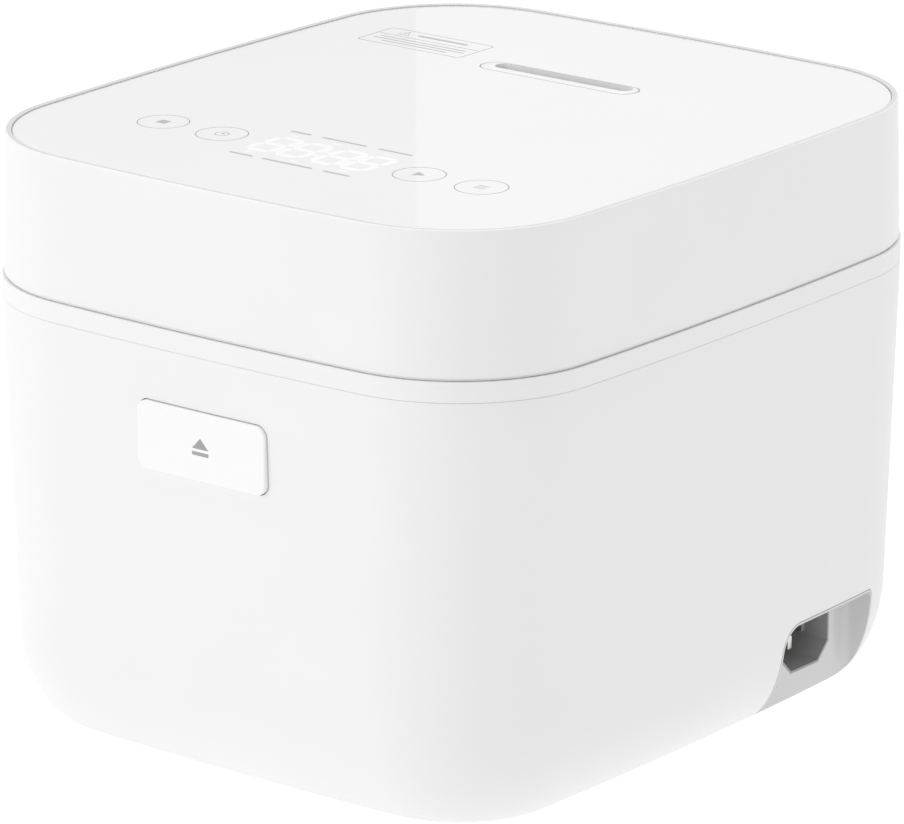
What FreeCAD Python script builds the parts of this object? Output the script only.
import FreeCAD, Part
import math
import os

# Rice cooker with a hinged lid, about 212 x 242 x 188 mm, in millimetres.
# +Z is up, the front with the open button faces -Y, and the origin is on the
# resting surface below the middle of the object.

Vector = FreeCAD.Vector
X_AXIS = Vector(1, 0, 0)
Y_AXIS = Vector(0, 1, 0)
Z_AXIS = Vector(0, 0, 1)
ORIGIN = Vector(0, 0, 0)

# ---- outline seen from above: a rectangle with bowed sides and round corners
HALF_WIDTH = 107.0
HALF_DEPTH = 120.35
CORNER_R = 49.1
SIDE_BOW = 4.4

# ---- heights
BODY_BOTTOM = 4.0
EDGE_TOP = 36.8
SHELL_TOP = 137.2
BAND_BOTTOM = 137.5
BAND_TOP = 143.2
LIP_TOP = 143.6
LID_BOTTOM = 144.5
DECK_BOTTOM = 183.0
PANEL_BOTTOM = 185.0
PANEL_TOP = 187.2
LID_TOP = 187.6

# ---- how far each wall lies inside the outline
BODY_TOP_INSET = 1.0
WALL_DRAFT = 0.0306
BOTTOM_INSET = 22.2
LID_BOTTOM_INSET = 1.56
LID_TOP_INSET = 2.64
PANEL_INSET = 4.75
BODY_WALL = 2.5
LID_WALL = 2.0
DECK_INSET = 4.8
LEDGE_INSET = 6.1

# ---- base cover, feet and screws
COVER_INSET = 25.3
COVER_THICKNESS = 3.0
LIP_INSET = 31.0
LIP_THICKNESS = 2.5
FOOT_R = 9.0
FOOT_X = 56.0
FOOT_Y = 70.0
BASE_SCREW_X = 45.0
BASE_SCREW_Y = 91.6
SCREW_HEAD_R = 3.0
SCREW_SHANK_R = 1.5

# ---- band, deck and skirt
BAND_DEPTH = 3.0
DECK_UNDERSIDE = 140.7
SKIRT_BOTTOM = 130.0
SKIRT_THICKNESS = 1.8
SKIRT_GAP = 0.4
LIP_WIDTH = 1.4
FIT_GAP = 0.03
COVER_GAP = 0.3
BOSS_R = 3.6
BOSS_TOP = 19.0

# ---- cooking pot and what surrounds it
POT_Y = -6.0
POT_R = 82.0
POT_WALL = 2.0
POT_BOTTOM = 44.0
POT_CORNER_R = 14.0
POT_FLANGE_R = 88.5
POT_SEAT = 141.2
POT_TOP = 143.0
SEAT_HOLE_R = 83.2
SEAT_RECESS_R = 88.9
COLLAR_R = 91.0
COLLAR_BOTTOM = 138.0
SHIELD_R = 84.5
SHIELD_WALL = 0.8
SHIELD_BOTTOM = 24.0
PLATE_R = 68.0
PLATE_BOTTOM = 34.0
PLATE_HOLE_R = 14.0
ELEMENT_R = 50.0
ELEMENT_TUBE_R = 3.6
SENSOR_R = 12.0
SENSOR_TOP = 43.7
SENSOR_THICKNESS = 1.4
TERMINAL_X = 12.0
SUPPORT_CIRCLE_R = 61.0
FUSE_Z = 31.6

# ---- power board, upright behind the pot
BOARD_FRONT = 91.5
BOARD_BACK = 93.1
BOARD_BOTTOM = 22.2
BOARD_TOP = 108.0
BOARD_POST_X = 25.0

# ---- lid hinge
HINGE_Y = 115.6
HINGE_Z = 150.0
PIN_R = 1.5
KNUCKLE_R = 4.2
COVER_OUTER_R = 5.4
COVER_INNER_R = 4.6
HINGE_HALF = 49.0
NOTCH_HALF = 50.0
NOTCH_TOP = 156.0
TOWER_SPANS = ((-47.0, -42.0), (-4.0, 4.0), (42.0, 47.0))
BRACKET_REAR = 118.2
HINGE_PLATE_FRONT = 119.7
HINGE_PLATE_BOTTOM = 139.0

# ---- open button and latch
BUTTON_W = 48.4
BUTTON_H = 21.0
BUTTON_Z = 110.6
BUTTON_FACE = -119.7
BUTTON_CORNER_R = 3.5
BUTTON_GAP = 0.3
BUTTON_EDGE_R = 0.5
BUTTON_WALL = 1.8
BUTTON_FLANGE = 1.6
FLANGE_FRONT = -115.0
FLANGE_BACK = -113.6
PLUNGER_Z = 112.0
PLUNGER_END = -106.4
LATCH_Y = -104.0
LATCH_Z = 84.0
LATCH_FRONT = -106.0
LATCH_PIN_R = 1.25
SPRING_X = 15.0
WING_FRONT = -107.0
CHEEK_HALF = 7.5
CHEEK_THICKNESS = 2.0
CHEEK_REAR = -97.0
TIE_FRONT = -102.0
TIE_REAR = -97.4
BRACKET_BOTTOM = 78.0

# ---- appliance inlet, at the lower rear of the right side
RECESS_FRONT = 29.8
RECESS_REAR = 79.2
RECESS_TOP = 36.4
RECESS_FRONT_R = 8.5
RECESS_REAR_R = 3.0
RECESS_WALL = 0.9
RECESS_FLOOR = 91.0
RECESS_FILLET_R = 2.5
INLET_Y = 55.3
INLET_Z = 23.75
INLET_FACE = 92.2
INLET_BACK = 75.2
INLET_W = 24.0
INLET_H = 16.5
INLET_BEVEL = 5.1
FRAME_W = 30.6
FRAME_BOTTOM = 11.9
FRAME_CORNER_R = 3.5
PIN_TIP = 86.6
PIN_HALF_WIDTH = 1.0
PIN_HALF_HEIGHT = 2.0
NOTCH_LOW = -20.0
NOTCH_FROM_X = 79.0

# ---- steam slot in the lid
SLOT_Y = 51.0
SLOT_W = 58.5
SLOT_H = 9.4
THROAT_W = 50.5
THROAT_H = 5.0
THROAT_TOP = 181.0
TRIM_BOTTOM = 179.2
SLOT_GAP = 0.3
STEAM_HOLE_X = (-18.0, -9.0, 0.0, 9.0, 18.0)

# ---- inside of the lid
INNER_BOTTOM = 144.7
INNER_TOP = 160.0
INNER_INSET = 3.9
WELL_R = 87.5
GASKET_BOTTOM = 143.3
LID_BOSS_X = 80.0
LID_BOSS_Y = (-85.0, 80.0)
CLIP_NOSE = -94.5
WALL_LEDGE = 0.6
LID_BOSS_BOTTOM = 148.9
GASKET_INNER_R = 80.2
GASKET_OUTER_R = 86.3
GASKET_TOP = 152.9
LID_DISC_R = 80.0
LID_DISC_BOTTOM = 150.0
LID_RIM_BOTTOM = 153.0
LID_RIM_TOP = 154.0
CATCH_FRONT = -111.6
CATCH_BOTTOM = 133.2
CATCH_TOP = 148.2

# ---- touch panel's board, keys and display
KEY_X = (-60.3, -37.4, 37.4, 60.3)
KEY_Y = -64.5
KEY_R = 6.5
TOUCH_BOARD_HALF = 72.0
TOUCH_BOARD_BOTTOM = 176.0
TOUCH_BOARD_TOP = 177.6
DISPLAY_Y = -64.0
DISPLAY_W = 57.0
DISPLAY_H = 23.0
LID_SENSOR_X = -45.0


# ======================================================================
# helpers
# ======================================================================
def box(x0, x1, y0, y1, z0, z1):
    """A box between two corners."""
    return Part.makeBox(x1 - x0, y1 - y0, z1 - z0, Vector(x0, y0, z0))


def rod(radius, start, end):
    """A round bar from one point to another."""
    return Part.makeCylinder(radius, (end - start).Length, start, end - start)


def disc(radius, z0, z1, x=0.0, y=0.0):
    """An upright round bar or plate."""
    return Part.makeCylinder(radius, z1 - z0, Vector(x, y, z0))


def ring(outer_r, inner_r, z0, z1, x=0.0, y=0.0):
    """An upright tube."""
    return disc(outer_r, z0, z1, x, y).cut(disc(inner_r, z0 - 1, z1 + 1, x, y))


def corner_centre():
    """Centre of the round corner that touches both bowed sides."""
    side_r = HALF_DEPTH ** 2 / (2 * SIDE_BOW)
    end_r = HALF_WIDTH ** 2 / (2 * SIDE_BOW)
    side_centre = Vector(HALF_WIDTH - side_r, 0, 0)
    end_centre = Vector(0, HALF_DEPTH - end_r, 0)
    side_reach = side_r - CORNER_R
    end_reach = end_r - CORNER_R
    line = end_centre - side_centre
    gap = line.Length
    along = (side_reach ** 2 - end_reach ** 2 + gap ** 2) / (2 * gap)
    across = math.sqrt(side_reach ** 2 - along ** 2)
    line.normalize()
    normal = Vector(-line.y, line.x, 0)
    foot = side_centre + line * along
    pair = (foot + normal * across, foot - normal * across)
    centre = max(pair, key=lambda point: point.x + point.y)
    return centre, side_centre, end_centre, side_r, end_r


CORNER, SIDE_CENTRE, END_CENTRE, SIDE_R, END_R = corner_centre()


def outline_wire(inset, z):
    """The outline at one height, moved inwards by inset: eight arcs."""
    to_side = (CORNER - SIDE_CENTRE).normalize()
    to_end = (CORNER - END_CENTRE).normalize()
    side_point = SIDE_CENTRE + to_side * (SIDE_R - inset)
    end_point = END_CENTRE + to_end * (END_R - inset)
    middle = CORNER + (to_side + to_end).normalize() * (CORNER_R - inset)
    east = Vector(HALF_WIDTH - inset, 0, 0)
    north = Vector(0, HALF_DEPTH - inset, 0)
    quarter = [east, side_point, middle, end_point, north]
    half = quarter + [Vector(-p.x, p.y, 0) for p in reversed(quarter[:-1])]
    loop = half + [Vector(p.x, -p.y, 0) for p in reversed(half[1:-1])]
    loop = [Vector(p.x, p.y, z) for p in loop]
    edges = []
    for start in range(1, len(loop), 2):
        points = [loop[(start + step) % len(loop)] for step in range(3)]
        edges.append(Part.Arc(*points).toShape())
    return Part.Wire(edges)


def outline_prism(inset, z0, z1):
    """An upright prism on the outline."""
    return Part.Face(outline_wire(inset, z0)).extrude(Vector(0, 0, z1 - z0))


def outline_loft(stations, ruled=True):
    """A solid through (inset, z) stations of the outline."""
    wires = [outline_wire(inset, z) for inset, z in stations]
    return Part.makeLoft(wires, True, ruled)


def rounded_face(width, height, radius):
    """A rectangle with round corners in the XY plane, centred on the origin."""
    half_w = width / 2.0
    half_h = height / 2.0
    cut = radius * (1 - math.sqrt(0.5))
    edges = []
    for turn in range(4):
        w, h = (half_w, half_h) if turn % 2 == 0 else (half_h, half_w)
        quarter = FreeCAD.Rotation(Z_AXIS, 90 * turn)
        corner = [Vector(w, h - radius, 0), Vector(w - cut, h - cut, 0), Vector(w - radius, h, 0)]
        low = Vector(w, radius - h, 0)
        if h - radius > 1e-6:
            edges.append(Part.makeLine(quarter.multVec(low), quarter.multVec(corner[0])))
        edges.append(Part.Arc(*[quarter.multVec(p) for p in corner]).toShape())
    return Part.Face(Part.Wire(edges))


def rounded_prism_z(width, depth, radius, z0, z1, x=0.0, y=0.0):
    """An upright prism with round corners."""
    face = rounded_face(width, depth, radius)
    face.translate(Vector(x, y, z0))
    return face.extrude(Vector(0, 0, z1 - z0))


def rounded_prism_y(width, height, radius, y0, y1, x=0.0, z=0.0):
    """A prism with round corners that runs from front to back."""
    face = rounded_face(width, height, radius)
    face.rotate(ORIGIN, X_AXIS, 90)
    face.translate(Vector(x, y0, z))
    return face.extrude(Vector(0, y1 - y0, 0))


def polygon_prism(points, direction):
    """A prism on a closed polygon."""
    wire = Part.makePolygon(points + [points[0]])
    return Part.Face(wire).extrude(direction)


def stadium_wire(width, height, z):
    """A slot outline with fully round ends at the steam slot's place."""
    face = rounded_face(width, height, height / 2.0 - 1e-4)
    face.translate(Vector(0, SLOT_Y, z))
    return face.OuterWire


def coil(radius, wire_r, length, turns, start, direction):
    """A coil spring of round wire that runs from start along direction, made of tilted half rings."""
    rise = length / (2.0 * turns)
    halves = []
    for half in range(2 * turns):
        side = 1 if half % 2 == 0 else -1
        near = Vector(side * radius, 0, half * rise)
        far = Vector(-side * radius, 0, (half + 1) * rise)
        axis = (far - near).cross(Vector(0, side, 0)).normalize()
        if axis.z < 0:
            axis = axis * -1.0
        section = Part.Face(Part.Wire(Part.makeCircle(wire_r, near, Y_AXIS)))
        halves.append(section.revolve((near + far) * 0.5, axis, 180))
    spring = halves[0].multiFuse(halves[1:])
    turn = FreeCAD.Rotation(Z_AXIS, direction)
    spring.Placement = FreeCAD.Placement(start, turn)
    return spring


def screw(x, y, head_bottom, shank_top):
    """A pan-head screw, driven upwards, with a cross recess in its head."""
    head_top = head_bottom + 1.4
    body = disc(SCREW_HEAD_R, head_bottom, head_top, x, y)
    body = body.fuse(disc(SCREW_SHANK_R, head_top, shank_top, x, y))
    for arm_x, arm_y in ((1.8, 0.35), (0.35, 1.8)):
        recess = box(x - arm_x, x + arm_x, y - arm_y, y + arm_y, head_bottom - 1, head_bottom + 0.8)
        body = body.cut(recess)
    return body


def clean(shape):
    """Joins faces that lie in one surface."""
    return shape.removeSplitter()


# ======================================================================
# body
# ======================================================================
def wall_inset(z):
    """Inset of the drafted body wall at a height above the rounded edge."""
    return BODY_TOP_INSET + WALL_DRAFT * (BAND_BOTTOM - z)


def rounded_edge(first_inset, last_inset, bottom, steps=6):
    """Stations of the rounded bottom edge, a quarter ellipse from the bottom up."""
    stations = []
    for step in range(steps + 1):
        angle = math.radians(90.0 * (1 - step / steps))
        inset = first_inset + (last_inset - first_inset) * (1 - math.cos(angle))
        z = EDGE_TOP - (EDGE_TOP - bottom) * math.sin(angle)
        stations.append((inset, z))
    return stations


def body_form(extra_inset, bottom, bottom_inset, top):
    """The body's solid form: rounded edge and drafted wall."""
    edge_inset = wall_inset(EDGE_TOP) + extra_inset
    stations = rounded_edge(edge_inset, bottom_inset, bottom)
    lower = outline_loft(stations, ruled=False)
    upper = outline_loft([(edge_inset, EDGE_TOP), (wall_inset(top) + extra_inset, top)])
    return lower.fuse(upper)


def recess_prism(gap):
    """The space of the inlet notch, open at the bottom, less a gap all round."""
    front = RECESS_FRONT + gap
    rear = RECESS_REAR - gap
    top = RECESS_TOP - gap
    front_r = RECESS_FRONT_R - gap
    rear_r = RECESS_REAR_R - gap
    low = NOTCH_LOW
    x = NOTCH_FROM_X
    slope = 1 - math.sqrt(0.5)
    edges = [
        Part.makeLine(Vector(x, front, low), Vector(x, front, top - front_r)),
        Part.Arc(Vector(x, front, top - front_r), Vector(x, front + front_r * slope, top - front_r * slope),
                 Vector(x, front + front_r, top)).toShape(),
        Part.makeLine(Vector(x, front + front_r, top), Vector(x, rear - rear_r, top)),
        Part.Arc(Vector(x, rear - rear_r, top), Vector(x, rear - rear_r * slope, top - rear_r * slope),
                 Vector(x, rear, top - rear_r)).toShape(),
        Part.makeLine(Vector(x, rear, top - rear_r), Vector(x, rear, low)),
        Part.makeLine(Vector(x, rear, low), Vector(x, front, low)),
    ]
    return Part.Face(Part.Wire(edges)).extrude(Vector(40, 0, 0))


def outer_shell():
    lip_top = BODY_BOTTOM + COVER_THICKNESS + LIP_THICKNESS
    outer = body_form(0.0, BODY_BOTTOM, BOTTOM_INSET, SHELL_TOP)
    inner = body_form(BODY_WALL, lip_top, BOTTOM_INSET + 1.8, SHELL_TOP + 1.0)
    shell = outer.cut(inner)
    shell = shell.cut(outline_prism(COVER_INSET - COVER_GAP, BODY_BOTTOM - 1, BODY_BOTTOM + COVER_THICKNESS))
    shell = shell.cut(outline_prism(LIP_INSET, BODY_BOTTOM, lip_top + 1))
    hole = rounded_prism_y(BUTTON_W + 2 * BUTTON_GAP, BUTTON_H + 2 * BUTTON_GAP,
                           BUTTON_CORNER_R + BUTTON_GAP, -130, -110, 0, BUTTON_Z)
    shell = shell.cut(hole)
    shell = shell.cut(recess_prism(0.0))
    for x in (-BASE_SCREW_X, BASE_SCREW_X):
        for y in (-BASE_SCREW_Y, BASE_SCREW_Y):
            shell = shell.fuse(disc(BOSS_R, lip_top - 0.5, BOSS_TOP, x, y))
            shell = shell.cut(disc(SCREW_SHANK_R + 0.05, BODY_BOTTOM, BOSS_TOP - 2.0, x, y))
    for x in (-BOARD_POST_X, BOARD_POST_X):
        post = box(x - 4, x + 4, BOARD_FRONT - 2, BOARD_BACK + 2, lip_top - 0.5, BOARD_BOTTOM + 10)
        groove = box(x - 5, x + 5, BOARD_FRONT - 0.15, BOARD_BACK + 0.15,
                     BOARD_BOTTOM - 0.2, BOARD_BOTTOM + 11)
        shell = shell.fuse(post.cut(groove))
    return shell


def rim_frame():
    """Band, deck and pot seat in one moulding."""
    band = outline_loft([(BODY_TOP_INSET, BAND_BOTTOM), (BODY_TOP_INSET, BAND_TOP)])
    band = band.cut(outline_prism(BODY_TOP_INSET + BAND_DEPTH, BAND_BOTTOM - 1, DECK_UNDERSIDE))
    skirt_inset = BODY_TOP_INSET + BODY_WALL + SKIRT_GAP
    skirt = outline_prism(skirt_inset, SKIRT_BOTTOM, DECK_UNDERSIDE + 0.3)
    skirt = skirt.cut(outline_prism(skirt_inset + SKIRT_THICKNESS, SKIRT_BOTTOM - 1, DECK_UNDERSIDE + 1))
    frame = band.fuse(skirt)
    frame = frame.fuse(ring(COLLAR_R, SEAT_HOLE_R, COLLAR_BOTTOM, BAND_TOP, 0, POT_Y))
    frame = frame.cut(disc(SEAT_HOLE_R, 120, 160, 0, POT_Y))
    frame = frame.cut(disc(SEAT_RECESS_R, POT_SEAT, 160, 0, POT_Y))
    frame = frame.cut(box(-11, 11, -113.2, -97.2, 135, 150))
    lip = outline_prism(BODY_TOP_INSET, BAND_TOP, LIP_TOP)
    lip = lip.cut(outline_prism(BODY_TOP_INSET + LIP_WIDTH, BAND_TOP - 1, LIP_TOP + 1))
    lip = lip.cut(box(-72, 72, 100, 125, 140, 150))
    return clean(frame.fuse(lip))


def hinge_bracket():
    """Strip on the deck with three towers that hold the hinge pin."""
    front = HINGE_Y - KNUCKLE_R
    foot = BAND_TOP + FIT_GAP
    bracket = box(TOWER_SPANS[0][0], TOWER_SPANS[-1][1], front, BRACKET_REAR, foot, BAND_TOP + 1.5)
    for x0, x1 in TOWER_SPANS:
        tower = rod(KNUCKLE_R, Vector(x0, HINGE_Y, HINGE_Z), Vector(x1, HINGE_Y, HINGE_Z))
        tower = tower.fuse(box(x0, x1, front, BRACKET_REAR, foot, HINGE_Z - 2.4))
        tower = tower.fuse(box(x0, x1, front, HINGE_Y, HINGE_Z - 3, HINGE_Z))
        bracket = bracket.fuse(tower)
    pin_hole = rod(PIN_R + 0.02, Vector(-50, HINGE_Y, HINGE_Z), Vector(50, HINGE_Y, HINGE_Z))
    return clean(bracket.cut(pin_hole))


def base_cover():
    top = BODY_BOTTOM + COVER_THICKNESS
    cover = outline_prism(COVER_INSET, BODY_BOTTOM, top)
    for row in range(2):
        for column in range(9):
            x = (column - 4) * 9.0
            y = -26.0 + row * 52.0
            cover = cover.cut(rounded_prism_z(3.0, 34.0, 1.4, 0, top + 1, x, y))
    for x in (-BASE_SCREW_X, BASE_SCREW_X):
        for y in (-BASE_SCREW_Y, BASE_SCREW_Y):
            cover = cover.cut(disc(SCREW_HEAD_R + 0.4, BODY_BOTTOM - 1, BODY_BOTTOM + 1.6, x, y))
            cover = cover.cut(disc(SCREW_SHANK_R + 0.3, BODY_BOTTOM, top + 1, x, y))
    for x in (-FOOT_X, FOOT_X):
        for y in (-FOOT_Y, FOOT_Y):
            cover = cover.cut(disc(3.05, BODY_BOTTOM - 1, top + 1, x, y))
    return cover


def feet():
    """Four rubber feet, each with a stem pushed into the base cover."""
    pads = []
    for x in (-FOOT_X, FOOT_X):
        for y in (-FOOT_Y, FOOT_Y):
            pad = Part.makeCone(FOOT_R - 1.0, FOOT_R, 1.0, Vector(x, y, 0))
            pad = pad.fuse(disc(FOOT_R, 1.0, BODY_BOTTOM, x, y))
            pad = pad.fuse(disc(3.0, BODY_BOTTOM - 1, BODY_BOTTOM + COVER_THICKNESS, x, y))
            pads.append(clean(pad))
    return Part.makeCompound(pads)


def base_screws():
    screws = []
    for x in (-BASE_SCREW_X, BASE_SCREW_X):
        for y in (-BASE_SCREW_Y, BASE_SCREW_Y):
            screws.append(screw(x, y, BODY_BOTTOM + 0.2, 15.5))
    return Part.makeCompound(screws)


def turned(points_and_arcs, y=POT_Y):
    """A solid of revolution about the pot's axis, from lines and arcs of (radius, z)."""
    edges = []
    for piece in points_and_arcs:
        points = [Vector(radius, 0, z) for radius, z in piece]
        if len(points) == 2:
            edges.append(Part.makeLine(*points))
        else:
            edges.append(Part.Arc(*points).toShape())
    solid = Part.Face(Part.Wire(edges)).revolve(ORIGIN, Z_AXIS, 360)
    solid.translate(Vector(0, y, 0))
    return solid


def arc_middle(centre, radius, angle):
    """A point of a circle in the (radius, z) plane."""
    turn = math.radians(angle)
    return (centre[0] + radius * math.cos(turn), centre[1] + radius * math.sin(turn))


def inner_pot():
    """Pressed pot with a rolled flange, resting on the seat."""
    outer = POT_R
    inner = POT_R - POT_WALL
    floor = POT_BOTTOM + POT_WALL
    centre = (outer - POT_CORNER_R, POT_BOTTOM + POT_CORNER_R)
    inner_corner = POT_CORNER_R - POT_WALL
    under = POT_SEAT + 0.05
    roll = (POT_TOP - under) / 2.0
    roll_centre = (POT_FLANGE_R - roll, under + roll)
    profile = [
        ((0, POT_BOTTOM), (centre[0], POT_BOTTOM)),
        ((centre[0], POT_BOTTOM), arc_middle(centre, POT_CORNER_R, -45), (outer, centre[1])),
        ((outer, centre[1]), (outer, under)),
        ((outer, under), (roll_centre[0], under)),
        ((roll_centre[0], under), (POT_FLANGE_R, roll_centre[1]), (roll_centre[0], POT_TOP)),
        ((roll_centre[0], POT_TOP), (inner + 1.5, POT_TOP)),
        ((inner + 1.5, POT_TOP), arc_middle((inner + 1.5, POT_TOP - 1.5), 1.5, 135), (inner, POT_TOP - 1.5)),
        ((inner, POT_TOP - 1.5), (inner, centre[1])),
        ((inner, centre[1]), arc_middle(centre, inner_corner, -45), (centre[0], floor)),
        ((centre[0], floor), (0, floor)),
        ((0, floor), (0, POT_BOTTOM)),
    ]
    return turned(profile)


def heat_shield():
    """Thin metal tub round the pot, hung from the collar."""
    tub = disc(SHIELD_R + SHIELD_WALL, SHIELD_BOTTOM, COLLAR_BOTTOM, 0, POT_Y)
    tub = tub.cut(disc(SHIELD_R, SHIELD_BOTTOM + SHIELD_WALL, COLLAR_BOTTOM + 1, 0, POT_Y))
    flange = ring(COLLAR_R - 1, SHIELD_R, COLLAR_BOTTOM - SHIELD_WALL, COLLAR_BOTTOM, 0, POT_Y)
    tub = tub.fuse(flange)
    tub = tub.cut(disc(17.0, 0, SHIELD_BOTTOM + 5, 0, POT_Y))
    for side in (-1, 1):
        tub = tub.cut(disc(4.0, 0, SHIELD_BOTTOM + 5, side * TERMINAL_X, POT_Y - ELEMENT_R + 2))
    return clean(tub)


def heating_plate():
    plate = disc(PLATE_R, PLATE_BOTTOM, POT_BOTTOM, 0, POT_Y)
    plate = plate.cut(disc(PLATE_HOLE_R, 0, 60, 0, POT_Y))
    groove = Part.makeTorus(ELEMENT_R, ELEMENT_TUBE_R, Vector(0, POT_Y, PLATE_BOTTOM))
    plate = plate.cut(groove)
    return plate


def heating_element():
    """A ring element set half into the plate, with two terminals."""
    element = Part.makeTorus(ELEMENT_R, ELEMENT_TUBE_R, Vector(0, POT_Y, PLATE_BOTTOM))
    for side in (-1, 1):
        x = side * TERMINAL_X
        y = POT_Y - math.sqrt(ELEMENT_R ** 2 - x ** 2)
        element = element.fuse(disc(2.0, 16.0, PLATE_BOTTOM, x, y))
    return element


def plate_supports():
    """Three posts that carry the heating plate on the shield's floor."""
    posts = []
    for angle in (30, 150, 270):
        turn = math.radians(angle)
        x = SUPPORT_CIRCLE_R * math.cos(turn)
        y = POT_Y + SUPPORT_CIRCLE_R * math.sin(turn)
        posts.append(disc(3.2, SHIELD_BOTTOM + SHIELD_WALL, PLATE_BOTTOM, x, y))
    return Part.makeCompound(posts)


def sensor_cap():
    """Spring-loaded cap that feels the pot's bottom."""
    cap = disc(SENSOR_R, 32.0, SENSOR_TOP, 0, POT_Y)
    return cap.cut(disc(SENSOR_R - 1.0, 31.0, SENSOR_TOP - SENSOR_THICKNESS, 0, POT_Y))


def sensor_bracket():
    """Disc under the shield's floor with a post that the spring stands round."""
    bracket = disc(22.0, SHIELD_BOTTOM - SENSOR_THICKNESS, SHIELD_BOTTOM, 0, POT_Y)
    bracket = bracket.fuse(disc(5.0, SHIELD_BOTTOM - 1, PLATE_BOTTOM, 0, POT_Y))
    return clean(bracket.cut(disc(2.5, 0, 60, 0, POT_Y)))


def sensor_spring():
    start = Vector(0, POT_Y, SHIELD_BOTTOM + 0.7)
    length = SENSOR_TOP - SENSOR_THICKNESS - 0.7 - start.z
    return coil(8.0, 0.6, length, 5, start, Z_AXIS)


def thermal_fuse():
    y = POT_Y - 28.0
    fuse = rod(2.2, Vector(-9, y, FUSE_Z), Vector(9, y, FUSE_Z))
    for side in (-1, 1):
        lead = rod(0.6, Vector(side * 8.5, y, FUSE_Z), Vector(side * 15, y, FUSE_Z))
        fuse = fuse.fuse(lead)
    return fuse


# ======================================================================
# electrics in the body
# ======================================================================
def power_board():
    board = box(-58, 52, BOARD_FRONT, BOARD_BACK, BOARD_BOTTOM, BOARD_TOP)
    for x in (-53, 47):
        hole = rod(1.8, Vector(x, BOARD_FRONT - 1, 102), Vector(x, BOARD_BACK + 1, 102))
        board = board.cut(hole)
    return board


def transformer():
    """Laminated core with a winding round its middle."""
    core = box(-50, -18, BOARD_BACK, 109.0, 40.0, 66.0)
    for x in (-43.5, -30.0):
        core = core.cut(box(x, x + 5.5, 90, 112, 46.0, 60.0))
    winding = rounded_prism_y(18.0, 13.4, 2.0, BOARD_BACK + 1.0, 111.0, -34.0, 53.0)
    return core.fuse(winding)


def relay():
    return rounded_prism_y(19.0, 15.0, 0.8, BOARD_BACK, 108.5, 10.0, 86.0)


def capacitors():
    """Three round cans standing off the board."""
    cans = []
    for x, z, radius in ((-4.0, 50.0, 5.0), (10.0, 50.0, 5.0), (34.0, 62.0, 6.5)):
        cans.append(rod(radius, Vector(x, BOARD_BACK, z), Vector(x, 107.5, z)))
    return Part.makeCompound(cans)


def inlet_face(width, height, bevel, x):
    """The inlet's outline: a rectangle with its two lower corners cut off."""
    half_w = width / 2.0
    half_h = height / 2.0
    points = [(-half_w, half_h), (-half_w, bevel - half_h), (bevel - half_w, -half_h),
              (half_w - bevel, -half_h), (half_w, bevel - half_h), (half_w, half_h)]
    return [Vector(x, INLET_Y + y, INLET_Z + z) for y, z in points]


def inlet_housing():
    """Moulded socket body: a mouth, a flange behind the frame and a closed back."""
    mouth = polygon_prism(inlet_face(INLET_W + 1.2, INLET_H + 1.2, INLET_BEVEL + 0.35, 84.0),
                          Vector(INLET_FACE - 84.0, 0, 0))
    body = polygon_prism(inlet_face(INLET_W + 4.0, INLET_H + 3.0, INLET_BEVEL, INLET_BACK - 2.0),
                         Vector(RECESS_FLOOR - INLET_BACK, 0, 0))
    flange = box(RECESS_FLOOR - 4.0, RECESS_FLOOR - 2.0, INLET_Y - 18.0, INLET_Y + 18.0, 12.0, 34.5)
    housing = mouth.fuse(body).fuse(flange)
    cavity = polygon_prism(inlet_face(INLET_W, INLET_H, INLET_BEVEL, INLET_BACK), Vector(40, 0, 0))
    housing = housing.cut(cavity)
    for y, z in pin_places():
        half_w = PIN_HALF_WIDTH + 0.02
        half_h = PIN_HALF_HEIGHT + 0.02
        housing = housing.cut(box(60, INLET_BACK + 5, y - half_w, y + half_w, z - half_h, z + half_h))
    return clean(housing)


def pin_places():
    """Middle of each flat pin: two above, the earth pin below between them."""
    return ((INLET_Y - 7.0, INLET_Z + 2.0), (INLET_Y + 7.0, INLET_Z + 2.0), (INLET_Y, INLET_Z - 2.0))


def inlet_pins():
    pins = [box(68.5, PIN_TIP, y - PIN_HALF_WIDTH, y + PIN_HALF_WIDTH,
                z - PIN_HALF_HEIGHT, z + PIN_HALF_HEIGHT) for y, z in pin_places()]
    return Part.makeCompound(pins)


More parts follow.
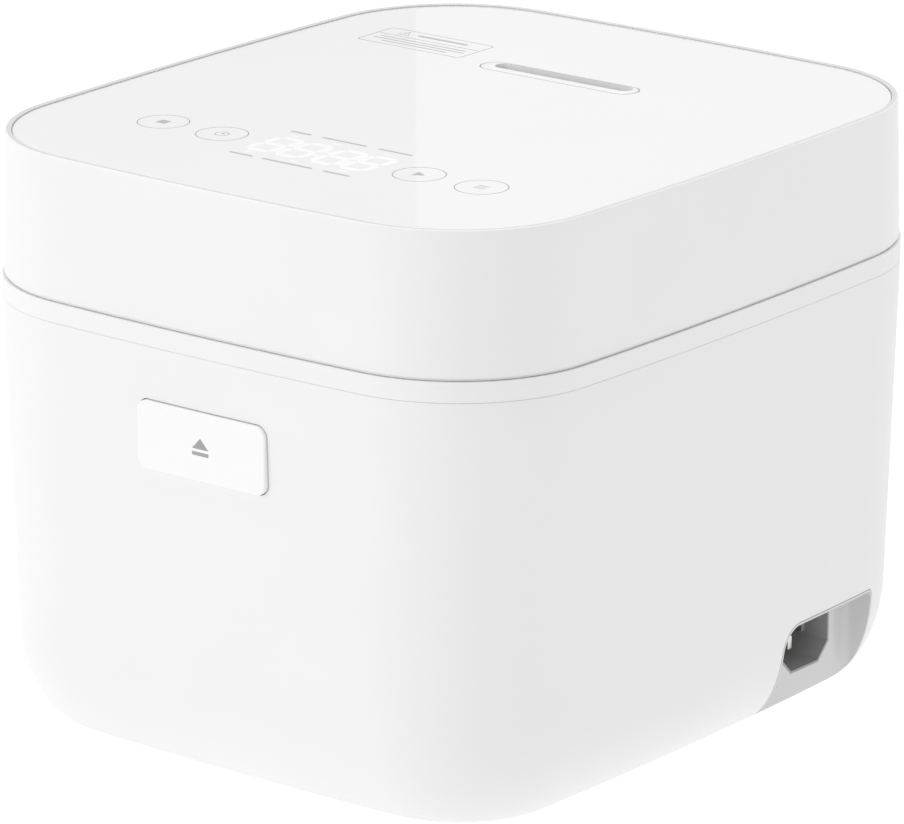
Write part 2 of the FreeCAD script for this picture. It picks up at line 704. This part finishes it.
def inlet_recess():
    """Insert that fills the notch: a sunk floor with a frame round the socket."""
    insert = recess_prism(0.25).common(body_form(0.0, BODY_BOTTOM, BOTTOM_INSET, 60.0))
    cover_room = outline_prism(COVER_INSET - COVER_GAP, 0, BODY_BOTTOM + COVER_THICKNESS)
    insert = insert.cut(cover_room.common(box(70, 110, 20, 90, 0, BODY_BOTTOM + COVER_THICKNESS)))
    fillet = RECESS_FILLET_R
    slope = fillet * math.sqrt(0.5)
    rear = RECESS_REAR - RECESS_WALL
    front = RECESS_FRONT + RECESS_WALL
    centre = Vector(RECESS_FLOOR + fillet, rear - fillet, -5)
    edges = [
        Part.makeLine(Vector(RECESS_FLOOR, front, -5), Vector(RECESS_FLOOR, centre.y, -5)),
        Part.Arc(Vector(RECESS_FLOOR, centre.y, -5), centre + Vector(-slope, slope, 0),
                 Vector(centre.x, rear, -5)).toShape(),
        Part.makeLine(Vector(centre.x, rear, -5), Vector(125, rear, -5)),
        Part.makeLine(Vector(125, rear, -5), Vector(125, front, -5)),
        Part.makeLine(Vector(125, front, -5), Vector(RECESS_FLOOR, front, -5)),
    ]
    ceiling = RECESS_TOP - RECESS_WALL
    pocket = Part.Face(Part.Wire(edges)).extrude(Vector(0, 0, ceiling + 5))
    pocket = pocket.common(recess_prism(RECESS_WALL))
    insert = insert.cut(pocket)
    insert = insert.cut(box(60, RECESS_FLOOR - 2.0, RECESS_FRONT + 2.2, RECESS_REAR - 2.2, 9.5, 60))
    frame_face = rounded_face(FRAME_W, 2 * (ceiling - FRAME_BOTTOM), FRAME_CORNER_R)
    frame_face.rotate(ORIGIN, X_AXIS, 90)
    frame_face.rotate(ORIGIN, Z_AXIS, 90)
    frame_face.translate(Vector(RECESS_FLOOR - 1.0, INLET_Y, ceiling))
    frame = frame_face.extrude(Vector(INLET_FACE - RECESS_FLOOR + 1.0, 0, 0))
    frame = frame.common(recess_prism(RECESS_WALL - 0.1))
    insert = insert.fuse(frame)
    window = polygon_prism(inlet_face(INLET_W + 1.4, INLET_H + 1.4, INLET_BEVEL + 0.4, 70), Vector(40, 0, 0))
    return clean(insert.cut(window))


# ======================================================================
# hinge
# ======================================================================
def hinge_pin():
    return rod(PIN_R, Vector(-47.4, HINGE_Y, HINGE_Z), Vector(47.4, HINGE_Y, HINGE_Z))


def hinge_springs():
    """Two torsion springs wound round the pin that help the lid up."""
    springs = []
    for x in (-26.5, 6.5):
        springs.append(coil(3.0, 0.6, 20.0, 12, Vector(x, HINGE_Y, HINGE_Z), X_AXIS))
    return Part.makeCompound(springs)


def hinge_point(radius, angle, x):
    turn = math.radians(angle)
    return Vector(x, HINGE_Y + radius * math.cos(turn), HINGE_Z + radius * math.sin(turn))


def hinge_cover():
    """Cap behind and over the hinge, with a plate down the band's back and two cheeks."""
    last = 68.0
    x = -HINGE_HALF
    rear = HINGE_Y + COVER_OUTER_R
    plate_front = HINGE_PLATE_FRONT
    first = math.degrees(-math.acos((plate_front - HINGE_Y) / COVER_INNER_R))
    plate_bottom = HINGE_PLATE_BOTTOM
    edges = [
        Part.Arc(hinge_point(COVER_OUTER_R, last, x), hinge_point(COVER_OUTER_R, last / 2, x),
                 hinge_point(COVER_OUTER_R, 0, x)).toShape(),
        Part.makeLine(hinge_point(COVER_OUTER_R, 0, x), Vector(x, rear, plate_bottom)),
        Part.makeLine(Vector(x, rear, plate_bottom), Vector(x, plate_front, plate_bottom)),
        Part.makeLine(Vector(x, plate_front, plate_bottom), hinge_point(COVER_INNER_R, first, x)),
        Part.Arc(hinge_point(COVER_INNER_R, first, x), hinge_point(COVER_INNER_R, (first + last) / 2, x),
                 hinge_point(COVER_INNER_R, last, x)).toShape(),
        Part.makeLine(hinge_point(COVER_INNER_R, last, x), hinge_point(COVER_OUTER_R, last, x)),
    ]
    cover = Part.Face(Part.Wire(edges)).extrude(Vector(2 * HINGE_HALF, 0, 0))
    for x0, x1 in ((-HINGE_HALF, -47.8), (47.8, HINGE_HALF)):
        cheek = rod(COVER_OUTER_R, Vector(x0, HINGE_Y, HINGE_Z), Vector(x1, HINGE_Y, HINGE_Z))
        cheek = cheek.common(box(x0, x1, HINGE_Y - 2.0, rear, 140, HINGE_Z + 5.0))
        cheek = cheek.fuse(box(x0, x1, HINGE_Y - 2.0, rear, BAND_TOP + 0.05, HINGE_Z - 1.0))
        cover = cover.fuse(cheek)
    return clean(cover)


# ======================================================================
# open button and latch
# ======================================================================
def open_button():
    """Hollow cap with a flange behind the shell wall and a plunger."""
    cap = rounded_prism_y(BUTTON_W, BUTTON_H, BUTTON_CORNER_R, BUTTON_FACE, FLANGE_FRONT, 0, BUTTON_Z)
    front_edges = [edge for edge in cap.Edges
                   if all(abs(vertex.Y - BUTTON_FACE) < 1e-6 for vertex in edge.Vertexes)]
    cap = cap.makeFillet(BUTTON_EDGE_R, front_edges)
    flange = rounded_prism_y(BUTTON_W + 2 * BUTTON_FLANGE, BUTTON_H + 2 * BUTTON_FLANGE, BUTTON_CORNER_R,
                             FLANGE_FRONT, FLANGE_BACK, 0, BUTTON_Z)
    hollow = rounded_prism_y(BUTTON_W - 2 * BUTTON_WALL, BUTTON_H - 2 * BUTTON_WALL, 2.0,
                             BUTTON_FACE + BUTTON_WALL, -110, 0, BUTTON_Z)
    button = cap.fuse(flange).cut(hollow)
    plunger = box(-4, 4, BUTTON_FACE + 1.0, PLUNGER_END, PLUNGER_Z - 1, PLUNGER_Z + 1)
    button = button.fuse(plunger)
    for x in (-SPRING_X, SPRING_X):
        seat = rod(4.2, Vector(x, BUTTON_FACE + 1.0, BUTTON_Z), Vector(x, FLANGE_BACK, BUTTON_Z))
        button = button.fuse(seat)
    return clean(button)


def button_springs():
    springs = []
    length = WING_FRONT - FLANGE_BACK - 1.2
    for x in (-SPRING_X, SPRING_X):
        start = Vector(x, FLANGE_BACK + 0.6, BUTTON_Z)
        springs.append(coil(2.8, 0.35, length, 4, start, Y_AXIS))
    return Part.makeCompound(springs)


def latch_bracket():
    """Two cheeks that hang from the deck, tied at the back, with a wing each side."""
    cheek_outer = CHEEK_HALF + CHEEK_THICKNESS
    bracket = box(-cheek_outer, cheek_outer, CHEEK_REAR - 1.6, CHEEK_REAR, BRACKET_BOTTOM, 105.0)
    for side in (-1, 1):
        inner, outer = sorted((side * CHEEK_HALF, side * cheek_outer))
        bracket = bracket.fuse(box(inner, outer, -109.0, CHEEK_REAR, BRACKET_BOTTOM, 124.0))
        bracket = bracket.fuse(box(inner, outer, TIE_FRONT, TIE_REAR, 120.0, 134.0))
        inner, outer = sorted((side * 9.0, side * 21.0))
        bracket = bracket.fuse(box(inner, outer, WING_FRONT, WING_FRONT + 1.6, 103.0, 119.0))
        inner, outer = sorted((side * 9.0, side * 16.0))
        bracket = bracket.fuse(box(inner, outer, TIE_FRONT, TIE_REAR, 130.0, 134.0))
        inner, outer = sorted((side * 12.0, side * 16.0))
        bracket = bracket.fuse(box(inner, outer, TIE_FRONT, TIE_REAR, 130.0, DECK_UNDERSIDE))
    hole = rod(LATCH_PIN_R + 0.02, Vector(-12, LATCH_Y, LATCH_Z), Vector(12, LATCH_Y, LATCH_Z))
    return clean(bracket.cut(hole))


def latch_pin():
    return rod(LATCH_PIN_R, Vector(-10.5, LATCH_Y, LATCH_Z), Vector(10.5, LATCH_Y, LATCH_Z))


def latch_hook():
    """Lever on the latch pin; its nose reaches forward over the lid's catch."""
    hub = rod(4.0, Vector(-5, LATCH_Y, LATCH_Z), Vector(5, LATCH_Y, LATCH_Z))
    lever = [(LATCH_FRONT, LATCH_Z), (LATCH_FRONT, 136.9), (-107.2, 136.9), (-107.2, 138.2),
             (-106.0, 140.4), (-103.2, 140.4), (-103.2, 125.0), (-102.0, 118.0), (-102.0, LATCH_Z)]
    body = polygon_prism([Vector(-5, y, z) for y, z in lever], Vector(10, 0, 0))
    hole = rod(LATCH_PIN_R + 0.05, Vector(-12, LATCH_Y, LATCH_Z), Vector(12, LATCH_Y, LATCH_Z))
    return clean(body.fuse(hub).cut(hole))


def latch_spring():
    """Small torsion spring on the latch pin that keeps the hook forward."""
    return coil(2.1, 0.25, 1.4, 2, Vector(5.55, LATCH_Y, LATCH_Z), X_AXIS)


# ======================================================================
# lid
# ======================================================================
def lid_draft_inset(z):
    """Inset of the lid's outer wall at a height."""
    share = (z - LID_BOTTOM) / (LID_TOP - LID_BOTTOM)
    return LID_BOTTOM_INSET + (LID_TOP_INSET - LID_BOTTOM_INSET) * share


def lid_shell():
    """Lid's wall: a rim that frames the panel, a ledge for the deck, a rib over the casing."""
    outer = outline_loft([(LID_BOTTOM_INSET, LID_BOTTOM), (LID_TOP_INSET, LID_TOP)])
    inner = outline_loft([(LID_BOTTOM_INSET + LID_WALL, LID_BOTTOM - 1),
                          (LID_TOP_INSET + LID_WALL, LID_TOP + 1)])
    room = outline_prism(LEDGE_INSET, LID_BOTTOM - 1, LID_TOP + 1)
    shell = outer.cut(inner)
    root = LID_TOP_INSET + WALL_LEDGE
    casing_top = INNER_BOTTOM + 2.0
    ledge = outline_prism(root, DECK_BOTTOM - 2.0, DECK_BOTTOM - FIT_GAP).cut(room)
    rib = outline_prism(root, casing_top + FIT_GAP, casing_top + 1.6).cut(room)
    shell = shell.fuse(ledge).fuse(rib)
    return shell.cut(box(-NOTCH_HALF, NOTCH_HALF, 105, 130, 130, NOTCH_TOP))


def slot_hole():
    """The space round the steam slot's trim."""
    wire = stadium_wire(SLOT_W + 2 * SLOT_GAP, SLOT_H + 2 * SLOT_GAP, 170)
    return Part.Face(wire).extrude(Vector(0, 0, 30))


def lid_deck():
    """Tray under the panel with four long bosses down to the lower casing."""
    deck = outline_prism(DECK_INSET, DECK_BOTTOM, PANEL_BOTTOM)
    deck = deck.cut(slot_hole())
    deck = deck.cut(rounded_prism_z(DISPLAY_W + 1.0, DISPLAY_H + 1.0, 1.5, 170, 195, 0, DISPLAY_Y))
    for x in (-LID_BOSS_X, LID_BOSS_X):
        for y in LID_BOSS_Y:
            boss = disc(4.0, LID_BOSS_BOTTOM, DECK_BOTTOM + 0.5, x, y)
            deck = deck.fuse(boss).cut(disc(SCREW_SHANK_R + 0.05, 140, 165, x, y))
    return deck


def top_panel():
    """Thin touch panel that lies in the lid's rim."""
    panel = outline_prism(PANEL_INSET, PANEL_BOTTOM + 0.02, PANEL_TOP)
    return panel.cut(slot_hole())


def vent_trim():
    """Insert of the steam slot: a sloped mouth above a straight throat."""
    top = PANEL_TOP + 0.1
    body = Part.Face(stadium_wire(SLOT_W, SLOT_H, TRIM_BOTTOM)).extrude(Vector(0, 0, top - TRIM_BOTTOM))
    mouth = Part.makeLoft([stadium_wire(SLOT_W - 1.2, SLOT_H - 1.2, top),
                           stadium_wire(THROAT_W, THROAT_H, THROAT_TOP)], True, True)
    throat = Part.Face(stadium_wire(THROAT_W, THROAT_H, 170)).extrude(Vector(0, 0, THROAT_TOP - 170))
    return body.cut(mouth).cut(throat)


def steam_valve():
    """Box under the slot that catches the foam; its floor has holes."""
    box_bottom = INNER_TOP + 0.1
    valve = box(-29.5, 29.5, SLOT_Y - 6.5, SLOT_Y + 6.5, box_bottom, TRIM_BOTTOM - 0.2)
    valve = valve.cut(box(-28, 28, SLOT_Y - 5, SLOT_Y + 5, box_bottom + 1.5, 190))
    baffle = box(-28.5, 12, SLOT_Y - 5.5, SLOT_Y + 5.5, 170.0, 171.2)
    valve = valve.fuse(baffle)
    for x in STEAM_HOLE_X:
        valve = valve.cut(disc(2.0, 150, 165, x, SLOT_Y))
    return valve


def lid_inner():
    """Lower casing of the lid: a plate, a round well for the inner lid and two hinge arms."""
    casing = outline_prism(INNER_INSET, INNER_BOTTOM, INNER_BOTTOM + 2.0)
    casing = casing.fuse(disc(WELL_R + 2.0, INNER_BOTTOM, INNER_TOP, 0, POT_Y))
    casing = casing.cut(box(-NOTCH_HALF - 0.4, NOTCH_HALF + 0.4, 109.5, 130, 140, 170))
    casing = casing.fuse(box(-52, 52, 107.5, 109.5, INNER_BOTTOM, 158))
    for side in (-1, 1):
        x0, x1 = sorted((side * 28.5, side * 41.5))
        arm = box(x0, x1, 106.0, HINGE_Y, HINGE_Z - KNUCKLE_R, HINGE_Z + 1.0)
        arm = arm.fuse(rod(KNUCKLE_R, Vector(x0, HINGE_Y, HINGE_Z), Vector(x1, HINGE_Y, HINGE_Z)))
        casing = casing.fuse(arm)
        rail0, rail1 = sorted((side * 10.4, side * 12.0))
        casing = casing.fuse(box(rail0, rail1, -106.5, -92.0, INNER_BOTTOM + 1.0, 152.8))
    casing = casing.cut(disc(WELL_R, 140, INNER_TOP - 2.0, 0, POT_Y))
    casing = casing.cut(box(-9, 9, -98, -90, 149.0, 155.2))
    casing = casing.cut(box(-8.5, 8.5, -105.2, -98.9, 140, 149.2))
    casing = casing.cut(box(-9.3, 9.3, -111.9, -107.3, 140, 150))
    casing = casing.cut(box(-23, 23, SLOT_Y - 4.5, SLOT_Y + 4.5, 150, 165))
    casing = casing.cut(disc(5.0, 150, 165, LID_SENSOR_X, POT_Y))
    for x in (-LID_BOSS_X, LID_BOSS_X):
        for y in LID_BOSS_Y:
            casing = casing.fuse(disc(5.5, INNER_BOTTOM, INNER_BOTTOM + 4.0, x, y))
            casing = casing.cut(disc(SCREW_HEAD_R + 0.4, 140, INNER_BOTTOM + 1.7, x, y))
            casing = casing.cut(disc(SCREW_SHANK_R + 0.3, 140, 152, x, y))
    pin_hole = rod(PIN_R + 0.05, Vector(-50, HINGE_Y, HINGE_Z), Vector(50, HINGE_Y, HINGE_Z))
    return clean(casing.cut(pin_hole))


def lid_heat_plate():
    """Aluminium plate above the inner lid that keeps it warm."""
    plate = disc(84.0, 154.6, 155.6, 0, POT_Y)
    plate = plate.cut(rounded_prism_z(46.0, 9.0, 4.0, 150, 160, 0, SLOT_Y))
    for angle in (20, 140, 260):
        turn = math.radians(angle)
        post = disc(3.0, 155.5, INNER_TOP - 2.0, 70 * math.cos(turn), POT_Y + 70 * math.sin(turn))
        plate = plate.fuse(post)
    return plate


def lid_sensor():
    sensor = disc(4.0, 155.6, 163.0, LID_SENSOR_X, POT_Y)
    return sensor.fuse(disc(1.2, 162.5, 168.0, LID_SENSOR_X, POT_Y))


def inner_lid():
    """Removable dished disc with steam holes, a rim for the gasket and a front tab."""
    lid = disc(LID_DISC_R, LID_DISC_BOTTOM, LID_RIM_TOP, 0, POT_Y)
    lid = lid.cut(disc(LID_DISC_R - 1.0, LID_DISC_BOTTOM + 1.0, 160, 0, POT_Y))
    lid = lid.fuse(ring(86.0, LID_DISC_R - 0.5, LID_RIM_BOTTOM, LID_RIM_TOP, 0, POT_Y))
    lid = lid.fuse(box(-6, 6, POT_Y - 90.2, POT_Y - 84.0, LID_RIM_BOTTOM, LID_RIM_TOP))
    for x in STEAM_HOLE_X:
        lid = lid.cut(disc(1.6, 140, 160, x, SLOT_Y))
    return clean(lid)


def inner_lid_gasket():
    """Silicone ring below the inner lid's rim, with a lip that meets the pot's flange."""
    lip_top = GASKET_BOTTOM + 0.8
    corners = [
        (GASKET_INNER_R, GASKET_TOP), (GASKET_OUTER_R, GASKET_TOP), (GASKET_OUTER_R, 147.5),
        (86.0, lip_top), (85.3, GASKET_BOTTOM), (84.3, GASKET_BOTTOM), (83.8, lip_top),
        (83.2, 147.0), (GASKET_INNER_R, 147.5),
    ]
    return turned(list(zip(corners, corners[1:] + corners[:1])))


def inner_lid_clip():
    """Slide that holds the inner lid's front tab."""
    clip = box(-10, 10, -103.5, -96.4, 149.4, 152.6)
    clip = clip.fuse(box(-7, 7, -96.6, CLIP_NOSE, 151.3, 152.6))
    clip = clip.fuse(box(-8, 8, -101.6, -99.4, 145.4, 149.6))
    return clean(clip)


def lid_catch():
    """Metal tongue that hangs into the deck's window, with a nose for the hook."""
    catch = box(-9, 9, CATCH_FRONT, CATCH_FRONT + 1.6, CATCH_BOTTOM, CATCH_TOP)
    catch = catch.fuse(box(-9, 9, CATCH_FRONT, CATCH_FRONT + 4.0, CATCH_BOTTOM, CATCH_BOTTOM + 3.2))
    flange = box(-13, 13, -114.0, -107.0, INNER_BOTTOM + 2.0, CATCH_TOP)
    return clean(catch.fuse(flange))


def lid_screws():
    screws = []
    for x in (-LID_BOSS_X, LID_BOSS_X):
        for y in LID_BOSS_Y:
            screws.append(screw(x, y, INNER_BOTTOM + 0.3, 162.0))
    return Part.makeCompound(screws)


def touch_board():
    """Circuit board under the panel with four raised touch pads."""
    board = box(-TOUCH_BOARD_HALF, TOUCH_BOARD_HALF, -88.0, -44.0, TOUCH_BOARD_BOTTOM, TOUCH_BOARD_TOP)
    for x in KEY_X:
        board = board.fuse(disc(KEY_R, TOUCH_BOARD_TOP - 0.6, DECK_BOTTOM - 0.2, x, KEY_Y))
    return clean(board)


def display_module():
    return rounded_prism_z(DISPLAY_W, DISPLAY_H, 1.0, TOUCH_BOARD_TOP, PANEL_BOTTOM - 0.2, 0, DISPLAY_Y)


NODES = (
    outer_shell, rim_frame, base_cover, feet, base_screws, inner_pot, heat_shield, heating_plate,
    heating_element, plate_supports, sensor_cap, sensor_bracket, sensor_spring, thermal_fuse,
    power_board, transformer, relay, capacitors, inlet_housing, inlet_pins, inlet_recess,
    hinge_bracket, hinge_pin, hinge_springs, hinge_cover, open_button, button_springs,
    latch_bracket, latch_pin, latch_hook, latch_spring,
    lid_shell, lid_deck, top_panel, vent_trim, steam_valve, lid_inner,
    lid_heat_plate, lid_sensor, inner_lid, inner_lid_gasket, inner_lid_clip, lid_catch,
    lid_screws, touch_board, display_module,
)

os.makedirs("parts", exist_ok=True)
for make_node in NODES:
    shape = make_node()
    shape.exportStep("parts/%s.step" % make_node.__name__)
    limits = shape.BoundBox
    print("%-18s solids %d  valid %s  volume %.0f  x %.1f %.1f  y %.1f %.1f  z %.1f %.1f" % (
        make_node.__name__, len(shape.Solids), shape.isValid(), shape.Volume,
        limits.XMin, limits.XMax, limits.YMin, limits.YMax, limits.ZMin, limits.ZMax))
